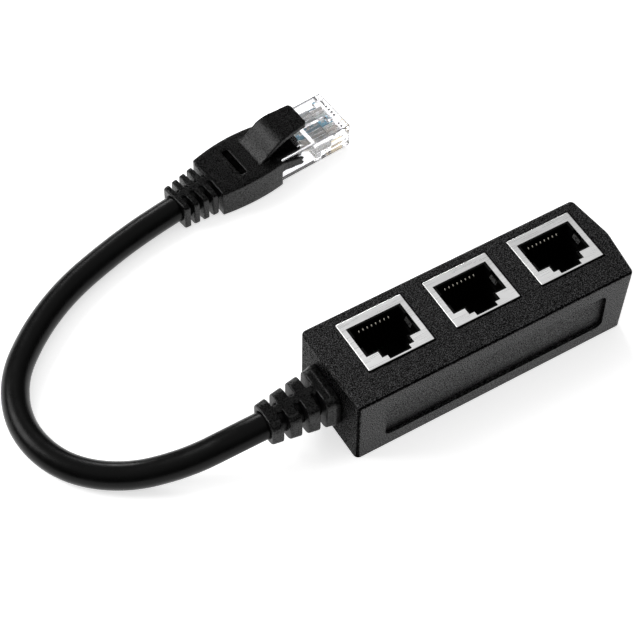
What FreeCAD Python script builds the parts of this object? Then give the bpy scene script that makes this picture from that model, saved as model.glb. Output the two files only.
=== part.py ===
"""Three-way network splitter: a short lead with a clear plug, feeding three shielded sockets.

Millimetres. The splitter box stands on the floor plane z = 0 with its length along X and
the sockets opening upwards (+Z). The origin is under the middle of the box. The lead leaves
the box's left end, comes down to the floor, turns back on itself and ends in its plug.
"""

import FreeCAD, Part
import math
import os
import re

import Sketcher
from FreeCAD import Placement, Rotation, Vector

SIZES = [
    # the splitter box
    ("left_bay", 6.8, "box's left end to the left socket"),
    ("right_clear", 1.04, "right socket to the right wall's corners"),
    ("front_bay", 6.85, "box's front to the sockets"),
    ("back_clear", 0.5, "sockets to the back wall"),
    ("end_bow", 1.47, "how far the right end's middle stands out"),
    ("end_draft", 1.2, "how far the right end leans in at the floor"),
    ("shell_left", -34.27, "place of the left end along X"),
    ("side_wall", 1.8, "side walls of the shell"),
    ("face_wall", 2.0, "socket face of the shell"),
    ("corner_round", 1.1, "upright corners of the shell"),
    ("face_round", 0.75, "edge round the socket face"),
    ("bow_round", 8.0, "crease down the right end"),
    ("panel_depth", 0.85, "sunk panel in the front wall"),
    ("panel_left", 6.84, "shell's left end to the panel"),
    ("panel_right", 6.4, "panel to the shell's right corner"),
    ("panel_low", 3.4, "floor to the panel"),
    ("panel_tall", 10.5, "panel, bottom to top"),
    ("panel_round", 1.6, "corners of the panel"),
    # the base plate and the board
    ("base_thick", 1.5, "base plate"),
    ("base_ledge", 0.8, "step that the base plate seats against"),
    ("base_gap", 0.1, "gap round the base plate"),
    ("post_wide", 3.4, "diameter of the board's posts"),
    ("post_tall", 2.3, "posts above the base plate"),
    ("post_pin", 1.6, "diameter of the pin on a post"),
    ("pin_gap", 0.1, "radial gap round a pin in the board"),
    ("post_inset", 2.6, "board's edge to the middle of a post"),
    ("board_thick", 1.2, "circuit board"),
    ("board_gap", 0.4, "gap between board and side walls"),
    ("board_past", 1.66, "board past the left socket, for the pairs"),
    # the sockets
    ("jack_pitch", 21.0, "distance between sockets"),
    ("jack_wide", 15.8, "shield, left to right"),
    ("jack_deep", 13.3, "shield, front to back"),
    ("jack_tall", 13.0, "board to the socket face"),
    ("sheet_thick", 0.25, "folded sheet of the shield"),
    ("hole_side", 0.15, "gap between the shield and the face's hole, at its sides"),
    ("hole_back", 0.1, "gap between the shield and the face's hole, at its back"),
    ("hole_front", 0.45, "gap between the shield and the face's hole, at its front"),
    ("window_wide", 13.06, "window in the shield"),
    ("window_back", 2.09, "shield's back edge to the window"),
    ("window_deep", 8.0, "window, back edge to the first step"),
    ("step_wide", 7.65, "first step of the latch way"),
    ("step_deep", 1.7, "first step of the latch way, front to back"),
    ("key_wide", 5.13, "second step of the latch way"),
    ("strip_thin", 0.45, "strip of sheet in front of the latch way"),
    ("finger_wide", 2.3, "earthing finger along Y"),
    ("finger_shift", 0.5, "earthing finger behind the socket's middle"),
    ("finger_drop", 3.2, "earthing finger, how far it reaches down"),
    ("finger_swell", 0.75, "earthing finger, how far it bulges inwards"),
    ("finger_peak", 0.6, "where it bulges most, as a share of the finger"),
    ("finger_join", 0.02, "earthing finger set into the window's side"),
    ("finger_room", 0.25, "gap beside an earthing finger in the insert"),
    ("finger_below", 0.4, "gap below an earthing finger in the insert"),
    ("leg_wide", 1.2, "solder leg of the shield, across"),
    ("leg_apart", 8.4, "distance between the shield's two legs, on its front wall"),
    ("leg_below", 1.0, "legs and contacts below the board"),
    ("leg_gap", 0.15, "gap round a leg or contact in the board"),
    ("insert_gap", 0.05, "gap between the insert and its shield"),
    ("cavity_wide", 11.9, "socket cavity, left to right"),
    ("cavity_deep", 7.2, "socket cavity, front to back"),
    ("cavity_back", 2.5, "shield's back edge to the cavity"),
    ("cavity_floor", 1.15, "floor of the socket cavity"),
    ("rim_gap", 0.15, "gap between the window and the insert's rim"),
    ("rim_below", 0.05, "insert's rim below the socket face"),
    ("latch_wide", 6.6, "latch way in the insert"),
    ("latch_deep", 1.7, "latch way in the insert, front to back"),
    ("key_gap", 0.2, "latch way's second step, narrower in the insert"),
    ("key_wall", 0.6, "insert's wall in front of the latch way"),
    ("slot_wide", 0.56, "slot for a contact in the insert's back wall"),
    ("slot_above", 0.6, "slot for a contact, above its knee"),
    ("slot_open", 0.5, "slot for a contact, past the wall into the cavity"),
    ("wire_pitch", 1.02, "distance between contacts"),
    ("contact_thick", 0.4, "diameter of a socket contact"),
    ("contact_inset", 1.25, "shield's back edge to a contact's upright"),
    ("contact_knee", 2.5, "socket face to a contact's knee"),
    ("contact_bow", 0.25, "contact's knee, where its straight runs would meet"),
    ("contact_top", 1.25, "contact's level run at its knee"),
    ("contact_reach", 3.45, "contact's upright to its free end, along Y"),
    ("contact_fall", 6.0, "contact's knee to its free end, downwards"),
    # the relief at the box
    ("exit_back", 0.4, "lead's exit behind the box's middle"),
    ("exit_height", 9.3, "lead's exit above the floor"),
    ("relief_length", 15.1, "relief outside the box"),
    ("relief_tip_wide", 8.0, "relief at its mouth, across"),
    ("relief_tip_tall", 7.1, "relief at its mouth, upwards"),
    ("relief_root_wide", 11.6, "relief at the box, across"),
    ("relief_root_tall", 9.9, "relief at the box, upwards"),
    ("relief_round", 2.3, "long edges of the relief"),
    ("relief_soft", 0.3, "edges round the relief's mouth and collar"),
    ("rib_pitch", 3.95, "relief, from one rib to the next"),
    ("rib_slot", 1.4, "slot between two ribs"),
    ("first_rib", 2.55, "length of the rib at the mouth"),
    ("spine_wide", 1.8, "spine that joins the ribs"),
    ("collar_long", 1.7, "collar against the wall"),
    ("collar_more", 0.3, "how far the collar stands out from the relief"),
    ("neck_wide", 8.6, "diameter of the relief's neck in the wall"),
    ("flange_wide", 10.6, "diameter of the flange inside the wall"),
    ("flange_thick", 1.2, "flange inside the wall"),
    # the lead
    ("lead_thick", 6.0, "diameter of the lead"),
    ("pair_thick", 1.3, "diameter of a wire pair inside the box"),
    ("pair_apart", 2.1, "distance between the pairs in the lead"),
    ("pair_clear", 0.28, "gap between the pairs and the left socket"),
    ("inner_pads", 2.8, "lead's exit to the inner pads, along Y"),
    ("outer_pads", 5.0, "lead's exit to the outer pads, along Y"),
    ("inner_drop", 2.4, "lead's exit down to where the inner pairs turn"),
    ("outer_drop", 0.8, "lead's exit down to where the outer pairs turn"),
    # the plug
    ("plug_x", -13.094, "plug's tail along X"),
    ("plug_y", 65.016, "plug's tail along Y"),
    ("plug_turn", 4.5, "plug's heading from +X, in degrees"),
    ("plug_lift", 0.8, "floor to the plug's underside"),
    ("plug_long", 21.46, "plug, nose to tail"),
    ("plug_wide", 11.68, "plug, side to side"),
    ("plug_tall", 6.5, "plug's body, upwards"),
    ("plug_side", 0.9, "side walls of the plug"),
    ("plug_skin", 0.6, "top and bottom walls of the plug"),
    ("plug_round", 0.5, "edges of the plug's nose"),
    ("mouth_long", 12.2, "plug's tail cavity, from the tail forwards"),
    ("nose_wall", 1.26, "plug's nose to the slot for the guide and wires"),
    ("wires_ahead", 3.6, "wires ahead of the guide"),
    ("guide_wide", 9.2, "wire guide"),
    ("guide_tall", 1.9, "wire guide, upwards"),
    ("guide_low", 1.9, "plug's underside to the wire guide"),
    ("guide_gap", 0.05, "gap round the wire guide"),
    ("wire_thick", 0.9, "diameter of a wire"),
    ("wire_bunch", 0.72, "wires' spread at the lead's end, as a share of that in the guide"),
    ("wire_stagger", 0.5, "wires above and below the lead's middle"),
    ("wire_run", 0.7, "wires' straight run from the lead's end"),
    ("wire_enter", 0.25, "wires' last bend past the guide's end"),
    ("blade_thick", 0.32, "contact blade, across"),
    ("blade_long", 3.2, "contact blade, along the plug"),
    ("blade_nose", 1.4, "plug's nose to a blade"),
    ("blade_sunk", 0.45, "plug's underside to a blade's edge"),
    ("blade_round", 0.3, "lower corners of a blade"),
    ("blade_slot", 0.5, "slot for a blade, across"),
    ("blade_room", 0.1, "slot for a blade, past the blade's tail"),
    ("latch_root", 6.0, "plug's latch at the nose, across"),
    ("latch_tail", 3.25, "plug's latch at its tail, across"),
    ("latch_step", 4.3, "nose to the latch's locking shoulders"),
    ("latch_long", 14.3, "plug's latch, nose to tail"),
    ("latch_thick", 1.1, "plug's latch, upwards"),
    ("latch_rise", 1.6, "how far the latch's tail stands above the plug"),
    ("latch_ahead", 0.9, "plug's nose to the latch's foot"),
    ("latch_foot", 1.3, "latch's foot, along the plug"),
    ("latch_lift", 0.75, "plug's top to the latch's underside at the foot"),
    ("latch_sunk", 0.2, "latch's foot below the plug's top"),
    ("crimp_long", 2.6, "crimp bar's window in the plug's top, along it"),
    ("crimp_wide", 8.2, "crimp bar's window, across"),
    ("crimp_back", 12.2, "nose to the crimp bar's window"),
    ("crimp_deep", 0.35, "crimp bar below the plug's top"),
    ("jacket_wide", 6.6, "lead's flattened end in the plug, across"),
    ("jacket_tall", 4.9, "lead's flattened end in the plug, upwards"),
    ("jacket_corner", 2.15, "long edges of the lead's flattened end"),
    ("jacket_short", 2.74, "lead's flattened end to the guide's slot"),
    ("jacket_back", 2.54, "plug's tail back to where the lead is still round"),
    ("jacket_blend", 2.4, "length over which the lead flattens"),
    ("boot_bend", 8.0, "plug's tail back to the lead's slight bend in the boot"),
    # the boot
    ("boot_front", 2.56, "plug's tail ahead to the boot's front"),
    ("boot_middle", 5.54, "plug's tail back to the boot's widest place"),
    ("boot_rear", 13.24, "plug's tail back to the boot's rear"),
    ("boot_front_wide", 13.0, "boot at its front, across"),
    ("boot_middle_wide", 13.9, "boot at its widest"),
    ("boot_rear_wide", 12.2, "boot at its rear, across"),
    ("boot_front_tall", 7.8, "boot at its front, upwards"),
    ("boot_middle_tall", 7.75, "boot at its widest, upwards"),
    ("boot_rear_tall", 7.3, "boot at its rear, upwards"),
    ("boot_grip", 0.05, "gap between the boot and the plug"),
    ("boot_edge", 0.5, "long edges of the boot"),
    ("hood_front", 10.3, "plug's nose to the hood's front"),
    ("hood_foot", 2.6, "plug's tail back to the foot of the hood"),
    ("hood_low", 7.6, "floor to the hood's foot"),
    ("hood_top", 12.6, "floor to the hood's top"),
    ("hood_thick", 1.4, "hood over the latch"),
    ("hood_root", 2.2, "slope of the hood's underside, along the boot"),
    ("hood_wide", 8.0, "hood, across"),
    ("hood_round", 0.9, "upright corners of the hood's front"),
    ("tongue_long", 5.1, "boot's tongue over the plug, ahead of the boot"),
    ("tongue_wide", 10.8, "boot's tongue, across"),
    ("tongue_thick", 0.7, "boot's tongue, upwards"),
    ("prong_long", 5.7, "side prong ahead of the boot"),
    ("prong_thick", 0.6, "side prong, across"),
    ("prong_in", 0.5, "side prongs and tongue inside the boot's front"),
    ("prong_low", 4.7, "floor to the prong at the boot"),
    ("prong_high", 7.7, "floor to the prong's top at the boot"),
    ("prong_tip_low", 3.7, "floor to the prong at its tip"),
    ("prong_tip_high", 6.1, "floor to the prong's top at its tip"),
    ("prong_notch", 0.5, "notch in the prong's tip"),
    ("grip_slot_long", 7.8, "slot across the boot's top"),
    ("grip_slot_wide", 1.5, "slot across the boot's top, along the boot"),
    ("grip_slot_back", 6.2, "plug's tail back to that slot"),
    ("grip_slot_deep", 1.0, "depth of that slot"),
    ("tail_bend", 3.5, "boot's relief turned from the plug's heading, in degrees"),
    ("tail_long", 9.3, "boot's relief"),
    ("tail_in", 1.0, "boot's relief inside the boot's rear"),
    ("tail_tip_wide", 8.0, "boot's relief at its mouth, across"),
    ("tail_root_wide", 10.8, "boot's relief at the boot, across"),
    ("tail_tip_tall", 7.2, "boot's relief at its mouth, upwards"),
    ("tail_root_tall", 7.2, "boot's relief at the boot, upwards"),
    ("tail_pitch", 2.3, "boot's relief, from one rib to the next"),
    ("tail_slot", 1.0, "slot between two ribs of the boot's relief"),
    ("tail_last", 0.6, "least length of the rib at the boot's relief's mouth"),
    ("tail_spine", 1.5, "spine of the boot's relief"),
    ("tail_slot_round", 0.45, "corners of its slots beside the spine"),
    ("tail_round", 0.9, "long edges of the boot's relief"),
    ("tail_soft", 0.35, "edges round the mouth of the boot's relief"),
]

# The lead's route. Its first point lies inside the box and its last inside the boot; the
# runs between them turn as the lead lies on the floor. Two more points, in line with the
# plug, are worked out from the plug's place.
ROUTE = [
    (-30.5, 0.4, 9.3),
    (-55.0, 0.4, 9.3),
    (-66.1, 2.6, 5.4),
    (-78.0, 7.3, 3.0),
    (-87.4, 15.7, 3.0),
    (-90.6, 27.8, 3.0),
    (-86.8, 39.8, 3.0),
    (-77.6, 48.6, 3.0),
    (-66.7, 55.1, 3.0),
    (-54.8, 59.1, 3.0),
    (-42.3, 61.8, 3.5),
]
NEAR = 0.01  # how close two places are when they count as one
MIDDLE_CONTACT = 3.5  # the middle of eight contacts counted from 0
ARC_SHARE = 0.45  # of the shorter run beside a corner that its arc takes up

# The hood's top from its foot to its front: share of its length, share of its rise.
HOOD_SIDE = [(0, 0), (0.135, 0.23), (0.233, 0.45), (0.334, 0.68), (0.458, 0.86), (0.567, 0.94),
             (0.669, 0.98), (0.792, 1), (1, 1)]
HOOD_OPEN = 0.3  # share of its length from which the hood stands clear of the boot
# The hood seen from above: share of its length, share of its width.
HOOD_PLAN = [(0, 1.06), (0.25, 1.06), (0.5, 1.03), (0.65, 0.97), (0.8, 0.91), (1, 0.84)]

# The eight wires in the plug, in the order of its contacts from the near side.
WIRES = [
    "white_orange",
    "orange",
    "white_green",
    "blue",
    "white_blue",
    "green",
    "white_brown",
    "brown",
]
PAIRS = ["orange", "green", "blue", "brown"]

os.makedirs("parts", exist_ok=True)
doc = FreeCAD.newDocument("NetworkSplitter")
sheet = doc.addObject("Spreadsheet::Sheet", "Sizes")
for row, (alias, number, note) in enumerate(SIZES, start=1):
    sheet.set(f"A{row}", note)
    sheet.set(f"B{row}", str(number))
    sheet.setAlias(f"B{row}", alias)
doc.recompute()
ALIASES = {alias for alias, number, note in SIZES}


def size(alias):
    """A driving dimension, read back from the sheet."""
    return float(sheet.get(alias))


def formula(text):
    """A formula in the sheet's aliases, as an expression of the document."""
    return re.sub(
        r"[a-z_]+",
        lambda word: "Sizes." + word.group() if word.group() in ALIASES else word.group(),
        str(text),
    )


def tie(owner, prop, text):
    """Bind a property to a formula."""
    owner.setExpression(prop, formula(text))


def new_body(label):
    body = doc.addObject("PartDesign::Body", label)
    body.Label = label
    return body


def new_sketch(body, name, plane, offset="0"):
    """A sketch on one of the body's origin planes, moved along that plane's normal."""
    sketch = body.newObject("Sketcher::SketchObject", name)
    support = [f for f in body.Origin.OriginFeatures if f.Role == plane + "_Plane"][0]
    sketch.AttachmentSupport = [(support, "")]
    sketch.MapMode = "FlatFace"
    tie(sketch, "AttachmentOffset.Base.z", offset)
    return sketch


def hold(sketch, geometry, point, x, y):
    """Hold a point of a sketch at a place given by two formulas."""
    for kind, text in (("DistanceX", x), ("DistanceY", y)):
        number = sketch.addConstraint(
            Sketcher.Constraint(kind, -1, 1, geometry, point, 1.0)
        )
        tie(sketch, f"Constraints[{number}]", text)


def outline(sketch, corners):
    """A closed outline of straight lines through corners, each a pair of formulas."""
    count = len(corners)
    ring = [
        Vector(math.cos(2 * math.pi * k / count), math.sin(2 * math.pi * k / count), 0)
        for k in range(count)
    ]
    first = sketch.GeometryCount
    for k in range(count):
        sketch.addGeometry(Part.LineSegment(ring[k], ring[(k + 1) % count]), False)
    for k in range(count):
        sketch.addConstraint(
            Sketcher.Constraint("Coincident", first + k, 2, first + (k + 1) % count, 1)
        )
    for k, (x, y) in enumerate(corners):
        hold(sketch, first + k, 1, x, y)


def rectangle(sketch, x_low, x_high, y_low, y_high):
    outline(sketch, [(x_low, y_low), (x_high, y_low), (x_high, y_high), (x_low, y_high)])


def circle(sketch, x, y, radius):
    ring = sketch.addGeometry(Part.Circle(Vector(0, 0, 0), Vector(0, 0, 1), 1.0), False)
    hold(sketch, ring, 3, x, y)
    number = sketch.addConstraint(Sketcher.Constraint("Radius", ring, 1.0))
    tie(sketch, f"Constraints[{number}]", radius)


def feature(body, kind, name, profile, length, back=False):
    """A Pad or Pocket of a sketch, along its normal or, for back, against it."""
    made = body.newObject("PartDesign::" + kind, name)
    made.Profile = profile
    tie(made, "Length", length)
    made.Reversed = back
    doc.recompute()
    return made


def pad(body, name, profile, length, back=False):
    return feature(body, "Pad", name, profile, length, back)


def pocket(body, name, profile, length, back=False):
    return feature(body, "Pocket", name, profile, length, back)


def round_edges(body, name, radius, chosen):
    """Round the edges of the body's last feature that the test chosen picks."""
    base = body.Tip
    names = [f"Edge{k}" for k, edge in enumerate(base.Shape.Edges, start=1) if chosen(edge)]
    made = body.newObject("PartDesign::Fillet", name)
    made.Base = (base, names)
    tie(made, "Radius", radius)
    doc.recompute()
    return made


def ends(edge):
    return [vertex.Point for vertex in edge.Vertexes]


def flat_at(edge, axis, level, within=NEAR):
    """Whether the whole edge lies at one level along an axis, 0 to 2."""
    return all(abs(point[axis] - level) < within for point in ends(edge))


def runs_along(edge, axis, lean=0.12):
    """Whether the edge runs along an axis, 0 to 2, give or take a small lean."""
    points = ends(edge)
    if len(points) < 2:
        return False
    span = points[1] - points[0]
    return abs(span[axis]) > (1 - lean) * span.Length


def plain(label, shape, place=None):
    """A sub-part whose shape is worked out here from the sheet's sizes."""
    made = doc.addObject("Part::Feature", label)
    made.Label = label
    made.Shape = shape
    if place:
        made.Placement = place
    return made


def cut(label, base, tools):
    """The base without its tools, which is a sub-part of its own."""
    for k, tool in enumerate(tools):
        made = doc.addObject("Part::Cut", label if k == len(tools) - 1 else f"{label}_{k}")
        made.Base = base
        made.Tool = tool
        base = made
    made.Label = label
    doc.recompute()
    return made


def rounded_path(points, share=ARC_SHARE):
    """Straight runs through the points, joined by arcs tangent to both; and the arcs' radii."""
    edges = []
    radii = []
    start = points[0]
    for before, corner, after in zip(points, points[1:], points[2:]):
        back = before - corner
        ahead = after - corner
        reach = share * min(back.Length, ahead.Length)
        back.normalize()
        ahead.normalize()
        half_turn = (math.pi - back.getAngle(ahead)) / 2
        radius = reach / math.tan(half_turn)
        enter = corner + back * reach
        leave = corner + ahead * reach
        inward = back + ahead
        inward.normalize()
        middle = corner + inward * (radius / math.cos(half_turn) - radius)
        edges.append(Part.LineSegment(start, enter).toShape())
        edges.append(Part.Arc(enter, middle, leave).toShape())
        radii.append(radius)
        start = leave
    edges.append(Part.LineSegment(start, points[-1]).toShape())
    return Part.Wire(edges), radii


def tube(points, diameter, share=ARC_SHARE):
    """A round bar along a rounded path."""
    path, radii = rounded_path(points, share)
    ring = Part.Wire(Part.makeCircle(diameter / 2, points[0], points[1] - points[0]))
    solid = path.makePipeShell([ring], True, False)
    return solid, path, radii


def block(x_low, x_high, y_low, y_high, z_low, z_high):
    return Part.makeBox(
        x_high - x_low, y_high - y_low, z_high - z_low, Vector(x_low, y_low, z_low)
    )


def round_box_wire(x, wide, tall, corner, y=0.0, z=0.0):
    """A rounded rectangle across X at the place x."""
    box = block(x, x + 1, y - wide / 2, y + wide / 2, z - tall / 2, z + tall / 2)
    rounded = box.makeFillet(corner, [edge for edge in box.Edges if runs_along(edge, 0)])
    return [face for face in rounded.Faces if abs(face.CenterOfMass.x - x) < 1e-6][0].OuterWire


# The plug's place. Inside the plug and boot, X runs along the plug with its tail at 0.
PLUG_PLACE = Placement(
    Vector(size("plug_x"), size("plug_y"), 0), Rotation(Vector(0, 0, 1), size("plug_turn"))
)

# Shared places, as formulas.
BOX_LONG = "(left_bay + 2 * jack_pitch + jack_wide + right_clear + side_wall)"
BOX_WIDE = "(front_bay + jack_deep + back_clear + side_wall)"
BOX_TALL = "(base_thick + post_tall + board_thick + jack_tall)"
SHELL_RIGHT = f"shell_left + {BOX_LONG}"
BOARD_LEFT = "shell_left + left_bay - board_past"
BOARD_LOW = "base_thick + post_tall"
BOARD_TOP = "base_thick + post_tall + board_thick"
JACK_BACK = f"{BOX_WIDE} / 2 - side_wall - back_clear - jack_deep / 2"


def total(*aliases):
    """The sum of several driving dimensions."""
    return sum(size(alias) for alias in aliases)


# The same places as numbers, for the shapes that are worked out here.
box_long = total("left_bay", "jack_pitch", "jack_pitch", "jack_wide", "right_clear", "side_wall")
box_wide = total("front_bay", "jack_deep", "back_clear", "side_wall")
board_top = total("base_thick", "post_tall", "board_thick")
box_tall = board_top + size("jack_tall")
jack_back = box_wide / 2 - total("side_wall", "back_clear") - size("jack_deep") / 2


def jack_centre(number):
    """Where socket 0, 1 or 2 stands along X."""
    return f"shell_left + left_bay + jack_wide / 2 + {number} * jack_pitch"


def end_outline(sketch, inset, lean):
    """The box's outline, inset from its walls, with the right end leaning in by lean."""
    left = f"shell_left + {inset}"
    right = f"{SHELL_RIGHT} - {inset} - {lean}"
    side = f"{BOX_WIDE} / 2 - {inset}"
    outline(
        sketch,
        [
            (left, f"-({side})"),
            (right, f"-({side})"),
            (f"{right} + end_bow", "0"),
            (right, side),
            (left, side),
        ],
    )


def make_shell():
    """The box's moulded shell: four walls and the socket face, open at the bottom."""
    body = new_body("housing_shell")
    plan = new_sketch(body, "shell_outline", "XY")
    end_outline(plan, "0", "0")
    pad(body, "shell_form", plan, BOX_TALL)
    right = size("shell_left") + box_long
    base = body.Tip
    leaning = [
        f"Face{k}"
        for k, face in enumerate(base.Shape.Faces, start=1)
        if face.CenterOfMass.x > right
    ]
    top = [
        f"Face{k}"
        for k, face in enumerate(base.Shape.Faces, start=1)
        if abs(face.CenterOfMass.z - box_tall) < NEAR
    ]
    lean = body.newObject("PartDesign::Draft", "end_lean")
    lean.Base = (base, leaning)
    lean.NeutralPlane = (base, top)
    lean.Reversed = True
    tie(lean, "Angle", f"atan(end_draft / {BOX_TALL})")
    doc.recompute()

    side = box_wide / 2
    round_edges(
        body,
        "end_crease",
        "bow_round",
        lambda edge: runs_along(edge, 2) and ends(edge)[0].x > right and abs(ends(edge)[0].y) < 1,
    )
    round_edges(
        body,
        "upright_corners",
        "corner_round",
        lambda edge: runs_along(edge, 2) and abs(abs(ends(edge)[0].y) - side) < NEAR,
    )
    round_edges(body, "face_edge", "face_round", lambda edge: flat_at(edge, 2, box_tall))

    inside = new_sketch(body, "inside_outline", "XY")
    end_outline(inside, "side_wall", "0")
    pocket(body, "inside", inside, f"{BOX_TALL} - face_wall", back=True)
    seat = new_sketch(body, "base_seat_outline", "XY")
    end_outline(seat, "(side_wall - base_ledge)", "end_draft / 2")
    pocket(body, "base_seat", seat, "base_thick", back=True)

    holes = new_sketch(body, "socket_holes", "XY", BOX_TALL)
    for number in range(3):
        middle = jack_centre(number)
        rectangle(
            holes,
            f"{middle} - jack_wide / 2 - hole_side",
            f"{middle} + jack_wide / 2 + hole_side",
            f"{JACK_BACK} - jack_deep / 2 - hole_front",
            f"{JACK_BACK} + jack_deep / 2 + hole_back",
        )
    pocket(body, "socket_windows", holes, "face_wall + 1")

    panel = new_sketch(body, "panel_outline", "XZ", f"{BOX_WIDE} / 2")
    rectangle(
        panel,
        "shell_left + panel_left",
        f"{SHELL_RIGHT} - panel_right",
        "panel_low",
        "panel_low + panel_tall",
    )
    pocket(body, "panel", panel, "panel_depth")
    round_edges(
        body,
        "panel_corners",
        "panel_round",
        lambda edge: runs_along(edge, 1)
        and abs(edge.Length - size("panel_depth")) < NEAR
        and ends(edge)[0].y < -side + size("panel_depth") + NEAR,
    )

    neck = new_sketch(body, "neck_hole", "YZ", "shell_left + side_wall")
    circle(neck, "exit_back", "exit_height", "neck_wide / 2")
    pocket(body, "neck_bore", neck, "side_wall")
    return body


def post_places():
    """The four board posts, as pairs of formulas."""
    left = f"{BOARD_LEFT} + post_inset"
    right = f"{SHELL_RIGHT} - side_wall - board_gap - post_inset"
    side = f"{BOX_WIDE} / 2 - side_wall - board_gap - post_inset"
    return [(x, y) for x in (left, right) for y in (f"-({side})", side)]


def make_base():
    """The plate that closes the bottom, with four posts that carry the board."""
    body = new_body("base_plate")
    plate = new_sketch(body, "plate_outline", "XY")
    end_outline(plate, "(side_wall - base_ledge + base_gap)", "end_draft / 2")
    pad(body, "plate", plate, "base_thick")
    posts = new_sketch(body, "post_circles", "XY", "base_thick")
    pins = new_sketch(body, "pin_circles", "XY", BOARD_LOW)
    for x, y in post_places():
        circle(posts, x, y, "post_wide / 2")
        circle(pins, x, y, "post_pin / 2")
    pad(body, "posts", posts, "post_tall")
    pad(body, "pins", pins, "board_thick")
    return body


def make_board():
    """The circuit board, with holes for the posts' pins, the contacts and the shields' legs."""
    body = new_body("circuit_board")
    edge = new_sketch(body, "board_outline", "XY", BOARD_LOW)
    side = f"{BOX_WIDE} / 2 - side_wall - board_gap"
    rectangle(
        edge,
        BOARD_LEFT,
        f"{SHELL_RIGHT} - side_wall - board_gap",
        f"-({side})",
        side,
    )
    pad(body, "board", edge, "board_thick")
    holes = new_sketch(body, "board_holes", "XY", BOARD_LOW)
    for x, y in post_places():
        circle(holes, x, y, "post_pin / 2 + pin_gap")
    for number in range(3):
        middle = jack_centre(number)
        for contact in range(8):
            circle(
                holes,
                f"{middle} + {contact - MIDDLE_CONTACT} * wire_pitch",
                f"{JACK_BACK} + jack_deep / 2 - contact_inset",
                "contact_thick / 2 + leg_gap",
            )
        for way in (-1, 1):
            leg = f"{middle} + {way} * leg_apart / 2"
            rectangle(
                holes,
                f"{leg} - leg_wide / 2 - leg_gap",
                f"{leg} + leg_wide / 2 + leg_gap",
                f"{JACK_BACK} - jack_deep / 2 - leg_gap",
                f"{JACK_BACK} - jack_deep / 2 + sheet_thick + leg_gap",
            )
    pocket(body, "holes", holes, "board_thick", back=True)
    return body


def place_jack(body, number):
    tie(body, "Placement.Base.x", jack_centre(number))
    tie(body, "Placement.Base.y", JACK_BACK)


def make_jack_shield(number):
    """A socket's shield: a folded box of sheet, with a window, two fingers and two legs."""
    tag = f"shield_{number + 1}"
    body = new_body(f"jack_shield_{number + 1}")
    outer = new_sketch(body, f"{tag}_outline", "XY", BOARD_TOP)
    rectangle(outer, "-jack_wide / 2", "jack_wide / 2", "-jack_deep / 2", "jack_deep / 2")
    pad(body, f"{tag}_form", outer, "jack_tall")
    round_edges(
        body,
        f"{tag}_folds",
        "sheet_thick",
        lambda edge: runs_along(edge, 2) or flat_at(edge, 2, box_tall),
    )
    inner = new_sketch(body, f"{tag}_inside", "XY", BOARD_TOP)
    rectangle(
        inner,
        "-jack_wide / 2 + sheet_thick",
        "jack_wide / 2 - sheet_thick",
        "-jack_deep / 2 + sheet_thick",
        "jack_deep / 2 - sheet_thick",
    )
    pocket(body, f"{tag}_hollow", inner, "jack_tall - sheet_thick", back=True)

    window = new_sketch(body, f"{tag}_window", "XY", BOX_TALL)
    back = "jack_deep / 2 - window_back"
    first = f"{back} - window_deep"
    second = f"{first} - step_deep"
    front = "-jack_deep / 2 + strip_thin"
    outline(
        window,
        [
            ("-window_wide / 2", back),
            ("-window_wide / 2", first),
            ("-step_wide / 2", first),
            ("-step_wide / 2", second),
            ("-key_wide / 2", second),
            ("-key_wide / 2", front),
            ("key_wide / 2", front),
            ("key_wide / 2", second),
            ("step_wide / 2", second),
            ("step_wide / 2", first),
            ("window_wide / 2", first),
            ("window_wide / 2", back),
        ],
    )
    pocket(body, f"{tag}_opening", window, "sheet_thick")

    # Each finger is folded down from the window's side and bulges into the cavity.
    fingers = new_sketch(
        body, f"{tag}_fingers", "XZ", "-(finger_shift - finger_wide / 2)"
    )
    swell = f"{BOX_TALL} - finger_peak * finger_drop"
    for way in (-1, 1):
        side = f"{way} * (window_wide / 2 + finger_join)"
        bulge = f"{way} * (window_wide / 2 - finger_swell)"
        bulge_out = f"{way} * (window_wide / 2 - finger_swell + sheet_thick)"
        side_out = f"{way} * (window_wide / 2 + sheet_thick)"
        outline(
            fingers,
            [
                (side, BOX_TALL),
                (bulge, swell),
                (side, f"{BOX_TALL} - finger_drop"),
                (side_out, f"{BOX_TALL} - finger_drop"),
                (bulge_out, swell),
                (side_out, f"{BOX_TALL} - sheet_thick"),
                (side_out, BOX_TALL),
            ],
        )
    pad(body, f"{tag}_finger_strips", fingers, "finger_wide", back=True)

    legs = new_sketch(body, f"{tag}_legs", "XY", BOARD_TOP)
    for way in (-1, 1):
        rectangle(
            legs,
            f"{way} * leg_apart / 2 - leg_wide / 2",
            f"{way} * leg_apart / 2 + leg_wide / 2",
            "-jack_deep / 2",
            "-jack_deep / 2 + sheet_thick",
        )
    pad(body, f"{tag}_leg_tabs", legs, "board_thick + leg_below", back=True)
    place_jack(body, number)
    return body


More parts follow.
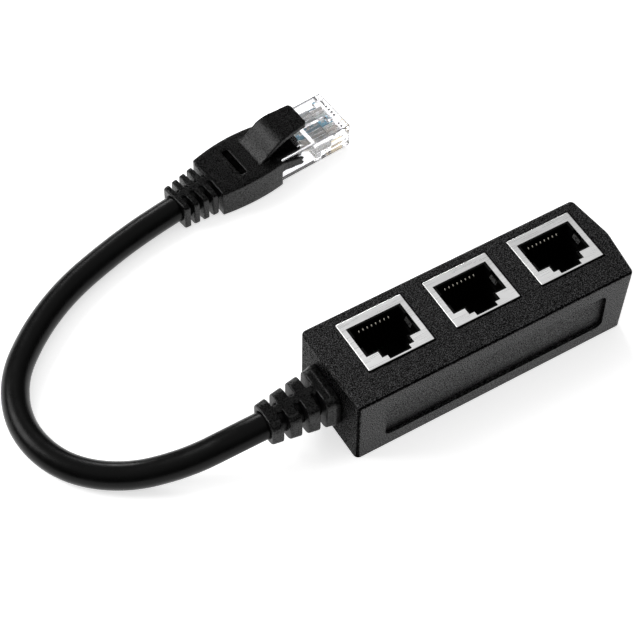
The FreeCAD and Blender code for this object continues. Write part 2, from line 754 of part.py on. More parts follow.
def make_jack_insert(number):
    """A socket's moulded insert: the cavity, its latch way and the slots for the contacts."""
    tag = f"insert_{number + 1}"
    body = new_body(f"jack_insert_{number + 1}")
    outer = new_sketch(body, f"{tag}_outline", "XY", BOARD_TOP)
    wide = "jack_wide / 2 - sheet_thick - insert_gap"
    deep = "jack_deep / 2 - sheet_thick - insert_gap"
    rectangle(outer, f"-({wide})", wide, f"-({deep})", deep)
    pad(body, f"{tag}_form", outer, "jack_tall - sheet_thick")
    rim = new_sketch(body, f"{tag}_rim", "XY", f"{BOX_TALL} - sheet_thick")
    window = "jack_deep / 2 - window_back"
    rectangle(
        rim,
        "-window_wide / 2 + rim_gap",
        "window_wide / 2 - rim_gap",
        f"{window} - window_deep + rim_gap",
        f"{window} - rim_gap",
    )
    pad(body, f"{tag}_lip", rim, "sheet_thick - rim_below")

    cavity = new_sketch(body, f"{tag}_cavity", "XY", BOX_TALL)
    back = "jack_deep / 2 - cavity_back"
    front = f"{back} - cavity_deep"
    latch = f"{front} - latch_deep"
    key = "key_wide / 2 - key_gap"
    end = "-jack_deep / 2 + sheet_thick + insert_gap + key_wall"
    outline(
        cavity,
        [
            ("-cavity_wide / 2", back),
            ("-cavity_wide / 2", front),
            ("-latch_wide / 2", front),
            ("-latch_wide / 2", latch),
            (f"-({key})", latch),
            (f"-({key})", end),
            (key, end),
            (key, latch),
            ("latch_wide / 2", latch),
            ("latch_wide / 2", front),
            ("cavity_wide / 2", front),
            ("cavity_wide / 2", back),
        ],
    )
    pocket(body, f"{tag}_hollow", cavity, "jack_tall - cavity_floor")

    comb_top = f"{BOX_TALL} - contact_knee + slot_above"
    slots = new_sketch(body, f"{tag}_slots", "XY", comb_top)
    for contact in range(8):
        middle = f"{contact - MIDDLE_CONTACT} * wire_pitch"
        rectangle(
            slots,
            f"{middle} - slot_wide / 2",
            f"{middle} + slot_wide / 2",
            f"{back} - slot_open",
            "jack_deep / 2 - contact_inset + slot_wide / 2",
        )
    pocket(body, f"{tag}_comb", slots, f"{comb_top} - ({BOARD_TOP})")

    notches = new_sketch(body, f"{tag}_notches", "XY", BOX_TALL)
    for way in (-1, 1):
        rectangle(
            notches,
            f"{way} * (window_wide / 2 - finger_swell - finger_room)",
            f"{way} * (window_wide / 2 + sheet_thick + finger_room)",
            "finger_shift - finger_wide / 2 - finger_room",
            "finger_shift + finger_wide / 2 + finger_room",
        )
    pocket(body, f"{tag}_finger_rooms", notches, "sheet_thick + finger_drop + finger_below")
    place_jack(body, number)
    return body


def make_jack_contacts(number):
    """A socket's eight sprung contacts, each from its tail under the board to its free end."""
    tail = board_top - total("board_thick", "leg_below")
    upright = size("jack_deep") / 2 - size("contact_inset")
    knee = box_tall - size("contact_knee")
    bend = knee + size("contact_bow")
    free_y = upright - size("contact_reach")
    free_z = knee - size("contact_fall")
    wires = []
    for contact in range(8):
        x = (contact - MIDDLE_CONTACT) * size("wire_pitch")
        points = [
            Vector(x, upright, tail),
            Vector(x, upright, bend),
            Vector(x, upright - size("contact_top"), bend),
            Vector(x, free_y, free_z),
        ]
        wires.append(tube(points, size("contact_thick"))[0])
    middle = total("shell_left", "left_bay") + size("jack_wide") / 2
    place = Placement(Vector(middle + number * size("jack_pitch"), jack_back, 0), Rotation())
    return plain(f"jack_contacts_{number + 1}", Part.makeCompound(wires), place)


def make_lead():
    """The lead's round jacket along its route."""
    level = size("plug_lift") + size("plug_tall") / 2
    points = [Vector(*point) for point in ROUTE]
    points.append(PLUG_PLACE.multVec(Vector(-size("boot_bend"), 0, level)))
    points.append(PLUG_PLACE.multVec(Vector(-size("jacket_back"), 0, level)))
    print("lead: last points", [tuple(round(c, 3) for c in point) for point in points[-2:]])
    solid, path, radii = tube(points, size("lead_thick"))
    section = math.pi * size("lead_thick") ** 2 / 4
    print("lead: length", round(path.Length, 2), "volume over section times length",
          round(solid.Volume / (section * path.Length), 5))
    print("lead: radii", [round(radius, 1) for radius in radii])
    return plain("cable_jacket", solid)


def make_pairs():
    """The four wire pairs from the lead's end to their pads on the board."""
    start = ROUTE[0][0]
    apart = size("pair_apart") / 2
    column = total("shell_left", "left_bay") - size("pair_clear") - size("pair_thick") / 2
    pairs = []
    for colour, way, level in zip(PAIRS, (-1, 1, -1, 1), (-1, -1, 1, 1)):
        lane = "inner" if level < 0 else "outer"
        y = size("exit_back") + way * apart
        z = size("exit_height") + level * apart
        pad_y = size("exit_back") + way * size(f"{lane}_pads")
        turn = size("exit_height") - size(f"{lane}_drop")
        points = [
            Vector(start, y, z),
            Vector(column, y, z),
            Vector(column, pad_y, turn),
            Vector(column, pad_y, board_top),
        ]
        bar = tube(points, size("pair_thick"))[0]
        pairs.append(plain(f"wire_pair_{colour}", bar))
    return pairs


def make_box_relief(lead):
    """The relief moulded on the lead where it enters the box."""
    y = size("exit_back")
    z = size("exit_height")
    wall_out = size("shell_left")
    wall_in = wall_out + size("side_wall")
    tip = wall_out - size("relief_length")
    collar = wall_out - size("collar_long")
    corner = size("relief_round")
    share = (collar - tip) / size("relief_length")
    collar_wide = size("relief_tip_wide") + share * (
        size("relief_root_wide") - size("relief_tip_wide")
    )
    collar_tall = size("relief_tip_tall") + share * (
        size("relief_root_tall") - size("relief_tip_tall")
    )
    form = Part.makeLoft(
        [
            round_box_wire(tip, size("relief_tip_wide"), size("relief_tip_tall"), corner, y, z),
            round_box_wire(collar, collar_wide, collar_tall, corner, y, z),
        ],
        True,
        True,
    )
    soft = size("relief_soft")
    form = form.makeFillet(soft, [edge for edge in form.Edges if flat_at(edge, 0, tip)])
    spine = size("spine_wide") / 2
    reach = size("relief_root_wide")
    slot_start = tip + size("first_rib")
    slots = []
    while slot_start + size("rib_slot") < collar:
        slot_end = slot_start + size("rib_slot")
        for low, high in ((-reach, -spine), (spine, reach)):
            slots.append(block(slot_start, slot_end, y + low, y + high, z - reach, z + reach))
        slot_start += size("rib_pitch")
    form = form.cut(Part.makeCompound(slots))
    more = size("collar_more")
    disc = Part.Face(
        round_box_wire(collar, collar_wide + more, collar_tall + more, corner, y, z)
    ).extrude(Vector(wall_out - collar, 0, 0))
    disc = disc.makeFillet(soft, [edge for edge in disc.Edges if flat_at(edge, 0, collar)])
    along = Vector(1, 0, 0)
    neck = Part.makeCylinder(
        size("neck_wide") / 2, size("side_wall"), Vector(wall_out, y, z), along
    )
    flange = Part.makeCylinder(
        size("flange_wide") / 2, size("flange_thick"), Vector(wall_in, y, z), along
    )
    moulding = plain("relief_moulding", form.fuse([disc, neck, flange]).removeSplitter())
    return cut("cable_relief", moulding, [lead])


PLUG_LOW = "plug_lift"
PLUG_TOP = "plug_lift + plug_tall"
GUIDE_ROOM = "(plug_long - mouth_long - nose_wall)"


def make_plug():
    """The clear plug: tail cavity, wire guide's slot, blade slots, crimp bar and latch."""
    body = new_body("plug_housing")
    end = new_sketch(body, "plug_section", "YZ")
    rectangle(end, "-plug_wide / 2", "plug_wide / 2", PLUG_LOW, PLUG_TOP)
    pad(body, "plug_form", end, "plug_long")
    nose = size("plug_long")
    round_edges(body, "plug_nose", "plug_round", lambda edge: flat_at(edge, 0, nose))
    tail = new_sketch(body, "tail_section", "YZ")
    rectangle(
        tail,
        "-plug_wide / 2 + plug_side",
        "plug_wide / 2 - plug_side",
        f"{PLUG_LOW} + plug_skin",
        f"{PLUG_TOP} - plug_skin",
    )
    pocket(body, "tail_cavity", tail, "mouth_long", back=True)
    guide = new_sketch(body, "guide_section", "YZ", "mouth_long")
    rectangle(
        guide,
        "-guide_wide / 2",
        "guide_wide / 2",
        f"{PLUG_LOW} + guide_low",
        f"{PLUG_LOW} + guide_low + guide_tall",
    )
    pocket(body, "guide_slot", guide, GUIDE_ROOM, back=True)
    blades = new_sketch(body, "blade_slots", "XY", PLUG_LOW)
    for contact in range(8):
        middle = f"{contact - MIDDLE_CONTACT} * wire_pitch"
        rectangle(
            blades,
            "plug_long - blade_nose - blade_long - blade_room",
            "plug_long + blade_room",
            f"{middle} - blade_slot / 2",
            f"{middle} + blade_slot / 2",
        )
    pocket(body, "blade_ways", blades, "guide_low + blade_room", back=True)

    window = new_sketch(body, "crimp_window", "XY", PLUG_TOP)
    rectangle(
        window,
        "plug_long - crimp_back - crimp_long",
        "plug_long - crimp_back",
        "-crimp_wide / 2",
        "crimp_wide / 2",
    )
    pocket(body, "crimp_bar", window, "crimp_deep")

    # The latch springs up from the nose and runs back over the plug, clear of its top.
    side = new_sketch(body, "latch_side", "XZ", "-latch_root / 2")
    foot = "plug_long - latch_ahead"
    outline(
        side,
        [
            (f"{foot} - latch_foot", f"{PLUG_TOP} - latch_sunk"),
            (foot, f"{PLUG_TOP} - latch_sunk"),
            (f"{foot} + latch_sunk", f"{PLUG_TOP} + latch_lift - latch_sunk"),
            (f"{foot} - latch_foot / 2", f"{PLUG_TOP} + latch_lift + latch_thick"),
            ("plug_long - latch_long", f"{PLUG_TOP} + latch_rise + latch_thick"),
            ("plug_long - latch_long", f"{PLUG_TOP} + latch_rise"),
            (f"{foot} - latch_foot - latch_sunk", f"{PLUG_TOP} + latch_lift"),
        ],
    )
    pad(body, "latch_bar", side, "latch_root")
    trim = new_sketch(body, "latch_sides", "XY", f"{PLUG_TOP} + blade_room")
    for way in (-1, 1):
        rectangle(
            trim,
            "plug_long - latch_long - latch_thick",
            "plug_long - latch_step",
            f"{way} * latch_tail / 2",
            f"{way} * latch_root",
        )
    pocket(body, "latch_waist", trim, "latch_rise + 2 * latch_thick", back=True)
    body.Placement = PLUG_PLACE
    return body


def guide_room():
    """Length of the plug's slot for the guide and wires."""
    return size("plug_long") - total("mouth_long", "nose_wall")


def make_wire_guide():
    """The clear bar that holds the eight wires side by side in the plug."""
    gap = size("guide_gap")
    low = total("plug_lift", "guide_low")
    half = size("guide_wide") / 2 - gap
    start = size("mouth_long") + gap
    end = start + guide_room() - size("wires_ahead")
    return block(start, end, -half, half, low + gap, low + size("guide_tall") - gap)


def make_plug_wires():
    """The guide with its eight bores, and the eight wires from the lead's end into it."""
    guide = make_wire_guide()
    level = total("plug_lift", "guide_low") + size("guide_tall") / 2
    centre = size("plug_lift") + size("plug_tall") / 2
    mouth = size("mouth_long")
    back = mouth - size("jacket_short")
    front = mouth + guide_room() - 2 * size("guide_gap")
    bars = []
    for contact, colour in enumerate(WIRES):
        y = (contact - MIDDLE_CONTACT) * size("wire_pitch")
        bunch_y = size("wire_bunch") * y
        way = 1 if contact % 2 else -1
        bunch_z = centre + way * size("wire_stagger")
        points = [
            Vector(back, bunch_y, bunch_z),
            Vector(back + size("wire_run"), bunch_y, bunch_z),
            Vector(mouth + size("wire_enter"), y, level),
            Vector(front, y, level),
        ]
        bar = tube(points, size("wire_thick"))[0]
        bars.append(plain(f"plug_wire_{colour}", bar, PLUG_PLACE))
        guide = guide.cut(bar)
    plain("wire_guide", guide, PLUG_PLACE)
    return bars


def make_blades():
    """The plug's eight contact blades, each pressed up to its wire."""
    low = total("plug_lift", "blade_sunk")
    level = total("plug_lift", "guide_low") + size("guide_tall") / 2
    wire_low = level - size("wire_thick") / 2
    end = size("plug_long") - size("blade_nose")
    half = size("blade_thick") / 2
    blades = []
    for contact in range(8):
        y = (contact - MIDDLE_CONTACT) * size("wire_pitch")
        blade = block(end - size("blade_long"), end, y - half, y + half, low, wire_low)
        corners = [e for e in blade.Edges if runs_along(e, 1) and flat_at(e, 2, low)]
        blades.append(blade.makeFillet(size("blade_round"), corners))
    return plain("plug_contacts", Part.makeCompound(blades), PLUG_PLACE)


def make_jacket_end():
    """The lead's end inside the plug, pressed flat by the crimp."""
    centre = size("plug_lift") + size("plug_tall") / 2
    back = -size("jacket_back")
    flat = back + size("jacket_blend")
    front = size("mouth_long") - size("jacket_short")
    round_wire = Part.Wire(
        Part.makeCircle(size("lead_thick") / 2, Vector(back, 0, centre), Vector(1, 0, 0))
    )
    corner = size("jacket_corner")
    flat_wire = round_box_wire(flat, size("jacket_wide"), size("jacket_tall"), corner, 0, centre)
    blend = Part.makeLoft([round_wire, flat_wire], True, False)
    bar = Part.Face(flat_wire).extrude(Vector(front - flat, 0, 0))
    return plain("cable_jacket_end", blend.fuse(bar), PLUG_PLACE)


def boot_section(x, place):
    """A section across the boot, standing on the floor, with rounded corners."""
    wide = size(f"boot_{place}_wide")
    tall = size(f"boot_{place}_tall")
    return round_box_wire(x, wide, tall, size("boot_edge"), 0, tall / 2)


def curve(points):
    """A smooth curve through points."""
    line = Part.BSplineCurve()
    line.interpolate(points)
    return line.toShape()


def run(*points):
    """Straight edges from point to point."""
    return [Part.LineSegment(one, two).toShape() for one, two in zip(points, points[1:])]


def make_hood():
    """The hood over the latch: its side view and its taper seen from above, in common."""
    foot = -size("hood_foot")
    front = size("plug_long") - size("hood_front")
    long = front - foot
    low = size("hood_low")
    rise = size("hood_top") - low
    wide = size("hood_wide")
    above = [Vector(foot + x * long, -wide, low + z * rise) for x, z in HOOD_SIDE]
    drop = Vector(0, 0, -size("hood_thick"))
    below = [
        point + drop for point, (share, _) in zip(above, HOOD_SIDE) if share > HOOD_OPEN
    ]
    inside = Vector(foot, -wide, low - size("hood_thick"))
    root = Vector(below[0].x - size("hood_root"), -wide, low)
    side = Part.Wire(
        [curve(above)]
        + run(above[-1], below[-1])
        + [curve(below[::-1])]
        + run(below[0], root, inside, above[0])
    )
    hood = Part.Face(side).extrude(Vector(0, 2 * wide, 0))
    near = [Vector(foot + x * long, -y * wide / 2, 0) for x, y in HOOD_PLAN]
    far = [Vector(point.x, -point.y, 0) for point in near[::-1]]
    plan = Part.Wire([curve(near)] + run(near[-1], far[0]) + [curve(far)] + run(far[-1], near[0]))
    hood = hood.common(Part.Face(plan).extrude(Vector(0, 0, 2 * size("hood_top"))))
    corners = [edge for edge in hood.Edges if runs_along(edge, 2) and flat_at(edge, 0, front)]
    return hood.makeFillet(size("hood_round"), corners)


def make_prongs():
    """The two prongs that grip the plug's sides ahead of the boot, dropping to their tips."""
    root = size("boot_front") - size("prong_in")
    tip = size("boot_front") + size("prong_long")
    grip = size("plug_wide") / 2 + size("boot_grip")
    notch = size("prong_notch")
    middle = (size("prong_tip_low") + size("prong_tip_high")) / 2
    side = Part.makePolygon(
        [
            Vector(root, 0, size("prong_low")),
            Vector(tip - notch, 0, size("prong_tip_low")),
            Vector(tip, 0, size("prong_tip_low") + notch),
            Vector(tip - notch, 0, middle),
            Vector(tip, 0, size("prong_tip_high") - notch),
            Vector(tip - notch, 0, size("prong_tip_high")),
            Vector(root, 0, size("prong_high")),
            Vector(root, 0, size("prong_low")),
        ]
    )
    prong = Part.Face(side).extrude(Vector(0, size("prong_thick"), 0))
    return [
        prong.translated(Vector(0, grip, 0)),
        prong.translated(Vector(0, -grip - size("prong_thick"), 0)),
    ]


def make_tongue():
    """The tongue that lies on the plug's top ahead of the boot, below the hood."""
    front = size("boot_front")
    half = size("tongue_wide") / 2
    low = total("plug_lift", "plug_tall", "boot_grip")
    return block(
        front - size("prong_in"),
        front + size("tongue_long"),
        -half,
        half,
        low,
        low + size("tongue_thick"),
    )


def make_boot_tail():
    """The boot's relief: a tapered bar slotted from both sides, turned a little."""
    tip = -size("tail_long")
    corner = size("tail_round")
    tip_tall = size("tail_tip_tall")
    root_tall = size("tail_root_tall")
    tail = Part.makeLoft(
        [
            round_box_wire(tip, size("tail_tip_wide"), tip_tall, corner, 0, tip_tall / 2),
            round_box_wire(
                size("tail_in"), size("tail_root_wide"), root_tall, corner, 0, root_tall / 2
            ),
        ],
        True,
        True,
    )
    mouth = [edge for edge in tail.Edges if flat_at(edge, 0, tip)]
    tail = tail.makeFillet(size("tail_soft"), mouth)
    spine = size("tail_spine") / 2
    reach = size("tail_root_wide")
    slots = []
    slot_end = 0.0
    while slot_end - size("tail_slot") > tip + size("tail_last"):
        slot_start = slot_end - size("tail_slot")
        for way in (-1, 1):
            low, high = sorted((way * spine, way * reach))
            slot = block(slot_start, slot_end, low, high, -reach, reach)
            inner = [edge for edge in slot.Edges if flat_at(edge, 1, way * spine)]
            upright = [edge for edge in inner if runs_along(edge, 2)]
            slots.append(slot.makeFillet(size("tail_slot_round"), upright))
        slot_end -= size("tail_pitch")
    tail = tail.cut(Part.makeCompound(slots))
    tail.Placement = Placement(
        Vector(-size("boot_rear"), 0, 0), Rotation(Vector(0, 0, 1), size("tail_bend"))
    )
    return tail


def make_boot(lead, jacket_end):
    """The boot over the plug's tail: body, hood over the latch, tongue, prongs and relief."""
    front = size("boot_front")
    form = Part.makeLoft(
        [
            boot_section(-size("boot_rear"), "rear"),
            boot_section(-size("boot_middle"), "middle"),
            boot_section(front, "front"),
        ],
        True,
        False,
    )
    gap = size("boot_grip")
    half = size("plug_wide") / 2 + gap
    low = size("plug_lift") - gap
    high = total("plug_lift", "plug_tall") + gap
    room = block(-gap, 2 * front, -half, half, low, high)
    slot_half = size("grip_slot_wide") / 2
    slot_x = -size("grip_slot_back")
    slot_reach = size("grip_slot_long") / 2
    slot_low = size("boot_middle_tall") - size("grip_slot_deep")
    grip_slot = block(
        slot_x - slot_half,
        slot_x + slot_half,
        -slot_reach,
        slot_reach,
        slot_low,
        size("hood_top"),
    )
    form = form.fuse([make_hood(), make_tongue(), make_boot_tail()] + make_prongs())
    form = form.cut([grip_slot, room])
    moulding = plain("boot_moulding", form.removeSplitter(), PLUG_PLACE)
    return cut("plug_boot", moulding, [lead, jacket_end])


def make_all():
    parts = [make_shell(), make_base(), make_board()]
    for number in range(3):
        parts += [
            make_jack_shield(number),
            make_jack_insert(number),
            make_jack_contacts(number),
        ]
    lead = make_lead()
    parts += [lead, make_box_relief(lead)]
    parts += make_pairs()
    parts += [make_plug(), make_blades()]
    parts += make_plug_wires()
    parts.append(doc.getObject("wire_guide"))
    jacket_end = make_jacket_end()
    parts += [jacket_end, make_boot(lead, jacket_end)]
    return parts


parts = make_all()
doc.recompute()
for thing in doc.Objects:
    failed = [word for word in thing.State if word in ("Invalid", "Error")]
    if failed:
        raise RuntimeError(f"{thing.Label} failed: {failed}")
for part in parts:
    if part.Shape.isNull() or not part.Shape.isValid():
        raise RuntimeError(f"{part.Label} has no valid shape")
for part in parts:
    part.Shape.exportStep(f"parts/{part.Label}.step")
    print(part.Label, len(part.Shape.Solids), "solids", round(part.Shape.Volume, 1), "mm3")
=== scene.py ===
"""Looks of the network splitter adapter: finishes, the lead, the soft mouldings, light, camera.

Metres, in the part's own frame: the box stands on z = 0 with its length along X.
"""
import math

import bpy
from mathutils import Matrix, Vector


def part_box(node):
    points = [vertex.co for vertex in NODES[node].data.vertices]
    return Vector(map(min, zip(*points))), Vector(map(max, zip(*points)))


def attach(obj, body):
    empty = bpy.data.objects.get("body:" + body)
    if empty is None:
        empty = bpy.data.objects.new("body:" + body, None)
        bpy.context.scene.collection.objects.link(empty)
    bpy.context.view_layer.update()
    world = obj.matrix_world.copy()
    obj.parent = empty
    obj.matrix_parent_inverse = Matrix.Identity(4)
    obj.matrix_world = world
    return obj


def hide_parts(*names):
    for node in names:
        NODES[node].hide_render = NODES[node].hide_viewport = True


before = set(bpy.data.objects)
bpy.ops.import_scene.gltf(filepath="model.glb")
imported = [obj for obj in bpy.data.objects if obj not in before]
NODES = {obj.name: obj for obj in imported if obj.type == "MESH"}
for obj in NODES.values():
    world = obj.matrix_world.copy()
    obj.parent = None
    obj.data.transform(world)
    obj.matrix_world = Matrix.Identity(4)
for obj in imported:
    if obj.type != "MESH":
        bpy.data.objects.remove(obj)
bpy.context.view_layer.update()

BODY = "root"
MM = 0.001

# The camera, in millimetres and degrees.
CAMERA_TARGET = (-29.27, 11.65, 17.86)
CAMERA_DISTANCE = 440.87
CAMERA_AZIMUTH = -32.03
CAMERA_ELEVATION = 54.07
CAMERA_ROLL = 0.94
CAMERA_LENS = 121.725
CAMERA_SENSOR = 36.0
CAMERA_NEAR = 10.0

# The lead's route in millimetres: the same points as in the part's source, and one more on
# its first run, so that the lead leaves its relief straight.
LEAD_ROUTE = [
    (-30.5, 0.4, 9.3),
    (-43.0, 0.4, 9.3),
    (-55.0, 0.4, 9.3),
    (-66.1, 2.6, 5.4),
    (-78.0, 7.3, 3.0),
    (-87.4, 15.7, 3.0),
    (-90.6, 27.8, 3.0),
    (-86.8, 39.8, 3.0),
    (-77.6, 48.6, 3.0),
    (-66.7, 55.1, 3.0),
    (-54.8, 59.1, 3.0),
    (-42.3, 61.8, 3.5),
    (-21.069, 64.388, 4.05),
    (-15.626, 64.817, 4.05),
]
LEAD_DIAMETER = 6.0

# How finely the lead is drawn: steps along each span, and round a quarter of its section.
LEAD_STEPS = 24
LEAD_ROUND_STEPS = 12

# The lead's shine ends between these places along the plug's axis, inside the boot, as painted
# shade.
LEAD_SHINE_END = (-14.0, -13.0)

# Wires: the pairs' colours, the pale partner's, and the width and waver of its stripes.
COLOURED = {
    "orange": (0.90, 0.84, 0.78),
    "green": (0.80, 0.86, 0.83),
    "blue": (0.26, 0.64, 0.86),
    "brown": (0.74, 0.70, 0.67),
}
PALE = (0.93, 0.93, 0.92)
STRIPE_SCALE = 160.0
STRIPE_WAVER = 0.4

SOCKETS = (1, 2, 3)

# Painted shade on the sockets' contacts: near black below the first height, bright gold above
# the second.
CONTACT_SHADED = 15.48
CONTACT_LIT = 15.62

# Painted shade on the shield's sides: the earthing fingers have their grey tone below the first
# height, and the rest of the shield, with sides painted near black, starts at the second.
FINGER_TOP = 16.9
SHEET_LOW = 17.2
FINGER_PAINTED_SHADE = 0.6

# The clear plug in its own axes: the middle of its tail, its turn in degrees, and its size;
# then how wide the painted shade along a moulded edge is, along its sides and round its nose.
PLUG_TAIL = (-13.094, 65.016, 4.05)
PLUG_TURN = 4.5
PLUG_LONG = 21.46
PLUG_WIDE = 11.68
PLUG_TALL = 6.5
PLUG_EDGE = 0.24
PLUG_NOSE_EDGE = 0.36

# The slot across the boot's top, in the plug's axes, where painted shade takes the boot's shine
# away: its middle, its half lengths.
SLOT_MIDDLE = (-6.2, 0.0, 2.6)
SLOT_HALF = (0.8, 4.0, 0.98)

# Clear plastic: how much of the light passes, and the index that bends it.
CLEAR_PART = 0.96
CLEAR_INDEX = 1.42

# The housing's painted shade, from a wall that faces the front to one that faces across it:
# dark where the rounded edges turn, with a slight painted highlight past them.
EDGE_PAINTED_SHADE = [(0.0, 1.0), (0.04, 1.0), (0.12, 0.8), (0.35, 0.8), (0.6, 1.06), (0.97, 1.0)]

# How far the soft mouldings' edges are rounded: the mesh's step in millimetres, and the
# passes that smooth it and their strength.
SOFT_STEP = 0.2
SOFT_PASSES = 4
SOFT_PULL = 0.5

# The floor, in metres: its half width, its glow, and a place of painted shade beside the end of
# the box where the lead leaves it. Mirrored there, the glow is less: it goes from the first
# factor to the second between the two distances from the place.
FLOOR_HALF = 2.0
FLOOR_GLOW = 0.62
SHADED_PLACE = (-0.042, 0.006, 0.0)
SHADED_REACH = (0.008, 0.026)
SHADED_FACTORS = (0.3, 1.8)

# The sky's brightness by the height that a ray points at, and its strength.
SKY = [(0.0, 0.05), (0.25, 0.10), (0.62, 0.35), (0.85, 0.75)]
SKY_STRENGTH = 0.9

# The lamps: place and width in metres, power in watts; and the place that they aim at.
LAMPS = {
    "key_light": ((-0.54, 0.46, 0.53), 0.45, 5.0),
    "back_light": ((0.20, 0.74, 0.40), 0.2, 2.2),
}
LAMPS_AIM = (-0.03, 0.03, 0.0)


def grey(level):
    return (level, level, level)


def fill_ramp(node, stops):
    """Give a colour ramp node its (position, colour) stops."""
    elements = node.color_ramp.elements
    while len(elements) < len(stops):
        elements.new(0.5)
    for element, (position, color) in zip(elements, stops):
        element.position = position
        element.color = (*color, 1.0)


class Finish:
    """A material with its Principled shader and short ways to add nodes."""

    def __init__(self, name, color, roughness, **sockets):
        self.material = bpy.data.materials.new(name)
        self.material.use_nodes = True
        self.tree = self.material.node_tree
        self.shader = self.tree.nodes["Principled BSDF"]
        self.set("Base Color", (*color, 1.0))
        self.set("Roughness", roughness)
        for socket, value in sockets.items():
            self.set(socket.replace("_", " "), value)
        self.place = self.add("ShaderNodeTexCoord").outputs["Object"]

    def set(self, socket, value):
        self.shader.inputs[socket].default_value = value

    def add(self, kind, **properties):
        node = self.tree.nodes.new(kind)
        for name, value in properties.items():
            setattr(node, name, value)
        return node

    def join(self, start, end):
        self.tree.links.new(start, end)

    def noise(self, size, detail=2.0, stretch=(1.0, 1.0, 1.0), roughness=0.5):
        """Noise whose features are about size millimetres across."""
        mapping = self.add("ShaderNodeMapping")
        mapping.inputs["Scale"].default_value = stretch
        self.join(self.place, mapping.inputs["Vector"])
        noise = self.add("ShaderNodeTexNoise")
        noise.inputs["Scale"].default_value = 1.0 / (size * MM)
        noise.inputs["Detail"].default_value = detail
        noise.inputs["Roughness"].default_value = roughness
        self.join(mapping.outputs["Vector"], noise.inputs["Vector"])
        return noise.outputs["Fac"]

    def ramp(self, factor, stops):
        """A colour ramp through (position, colour) stops."""
        node = self.add("ShaderNodeValToRGB")
        fill_ramp(node, stops)
        self.join(factor, node.inputs["Fac"])
        return node.outputs["Color"]

    def span(self, factor, low, high, start=0.3, end=0.7):
        """The factor, carried from start..end to low..high."""
        node = self.add("ShaderNodeMapRange")
        node.inputs["From Min"].default_value = start
        node.inputs["From Max"].default_value = end
        node.inputs["To Min"].default_value = low
        node.inputs["To Max"].default_value = high
        self.join(factor, node.inputs["Value"])
        return node.outputs["Result"]

    def split(self, vector):
        """A vector's X, Y and Z outputs."""
        node = self.add("ShaderNodeSeparateXYZ")
        self.join(vector, node.inputs["Vector"])
        return node.outputs

    def along(self, axis, low, high):
        """0 below the place low on an axis, 1 above the place high, in millimetres."""
        return self.span(self.split(self.place)[axis], 0.0, 1.0, low * MM, high * MM)

    def facing(self, axis, low, high):
        """0 where the surface's normal on an axis is under low, 1 where it is over high."""
        normal = self.add("ShaderNodeNewGeometry").outputs["Normal"]
        return self.span(self.split(normal)[axis], 0.0, 1.0, low, high)

    def combine(self, operation, *values):
        """A maths node on other nodes' outputs and plain numbers."""
        node = self.add("ShaderNodeMath", operation=operation)
        for value, socket in zip(values, node.inputs):
            if isinstance(value, float):
                socket.default_value = value
            else:
                self.join(value, socket)
        return node.outputs["Value"]

    def times(self, one, other):
        return self.combine("MULTIPLY", one, other)

    def most(self, one, other):
        return self.combine("MAXIMUM", one, other)

    def beyond(self, value, middle, reach, soft=0.04):
        """0 where the value is within reach of the middle, 1 further away."""
        away = self.combine("ABSOLUTE", self.combine("SUBTRACT", value, middle))
        return self.span(away, 0.0, 1.0, reach - soft, reach)

    def color(self, output):
        self.join(output, self.shader.inputs["Base Color"])

    def rough(self, output):
        self.join(output, self.shader.inputs["Roughness"])

    def level(self, output):
        self.join(output, self.shader.inputs["Specular IOR Level"])

    def bump(self, heights):
        """Bumps from (height output, depth in millimetres) pairs, one on the other."""
        normal = None
        for height, depth in heights:
            node = self.add("ShaderNodeBump")
            node.inputs["Strength"].default_value = 1.0
            node.inputs["Distance"].default_value = depth * MM
            self.join(height, node.inputs["Height"])
            if normal:
                self.join(normal, node.inputs["Normal"])
            normal = node.outputs["Normal"]
        self.join(normal, self.shader.inputs["Normal"])

    def plug_axes(self):
        """The place in the plug's own axes, in millimetres, as X, Y and Z outputs."""
        own = self.add("ShaderNodeMapping", vector_type="TEXTURE")
        own.inputs["Location"].default_value = tuple(value * MM for value in PLUG_TAIL)
        own.inputs["Rotation"].default_value = (0.0, 0.0, math.radians(PLUG_TURN))
        own.inputs["Scale"].default_value = grey(MM)
        self.join(self.place, own.inputs["Vector"])
        return self.split(own.outputs["Vector"])


def housing_finish():
    """Grained plastic, with painted shade where it turns from the top or an end to the front, a
    slight painted highlight past it, and a little painted shade on its left end.
    """
    finish = Finish("housing_grain_and_painted_shade", grey(0.02), 0.5)
    grains = finish.noise(0.22, detail=3.0, roughness=0.7)
    painted_edge_shade = [(place, grey(level)) for place, level in EDGE_PAINTED_SHADE]
    painted_turn_shade = finish.ramp(finish.facing("Y", -1.0, 0.0), painted_edge_shade)
    # Painted shade: walls facing -X, the left end, are a little darker.
    end = finish.span(finish.facing("X", -1.0, 0.0), 0.9, 1.0, start=0.0, end=0.6)
    tone_with_painted_shade = finish.times(finish.times(grains, painted_turn_shade), end)
    finish.color(finish.ramp(tone_with_painted_shade, [(0.5, grey(0.0)), (0.64, (0.06, 0.06, 0.062))]))
    finish.rough(finish.span(grains, 0.3, 0.4, start=0.4, end=0.6))
    finish.level(finish.span(tone_with_painted_shade, 0.0, 0.43, start=0.425, end=0.645))
    finish.bump([(grains, 0.1), (finish.noise(1.3), 0.05)])
    return finish.material


def board_finish():
    """A circuit board's green mask over its weave."""
    finish = Finish("board_mask", (0.02, 0.16, 0.06), 0.3)
    weave = finish.noise(0.5, stretch=(1.0, 4.0, 1.0))
    finish.color(finish.ramp(weave, [(0.4, (0.012, 0.11, 0.04)), (0.6, (0.02, 0.17, 0.07))]))
    finish.bump([(weave, 0.01)])
    return finish.material


